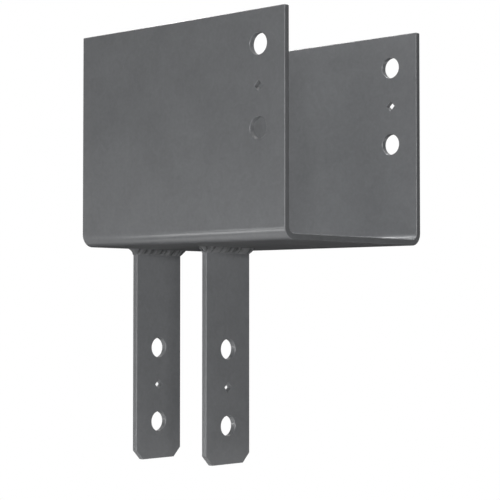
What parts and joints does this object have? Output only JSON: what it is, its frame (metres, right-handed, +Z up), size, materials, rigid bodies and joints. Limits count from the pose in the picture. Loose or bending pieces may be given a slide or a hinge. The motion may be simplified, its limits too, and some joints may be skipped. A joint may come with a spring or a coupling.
{
  "type": "column cap",
  "caption": "Welded steel end column cap: a folded saddle seats the end of a beam on a post held between two straps.",
  "frame": {"origin": "middle of the post's seat on the underside of the base plate, midway between the straps", "axes": "+X along the beam towards the saddle's front end, +Z up, straps hanging down along -Z"},
  "size_m": [0.2667, 0.2026, 0.4252],
  "materials": {
    "grey_paint": "satin dark grey paint",
    "painted_weld": "satin dark grey paint over a weld"
  },
  "bodies": {
    "root": {"beam_saddle": "grey_paint", "rear_strap": "grey_paint", "front_strap": "grey_paint", "rear_weld": "painted_weld", "front_weld": "painted_weld"}
  },
  "joints": []
}
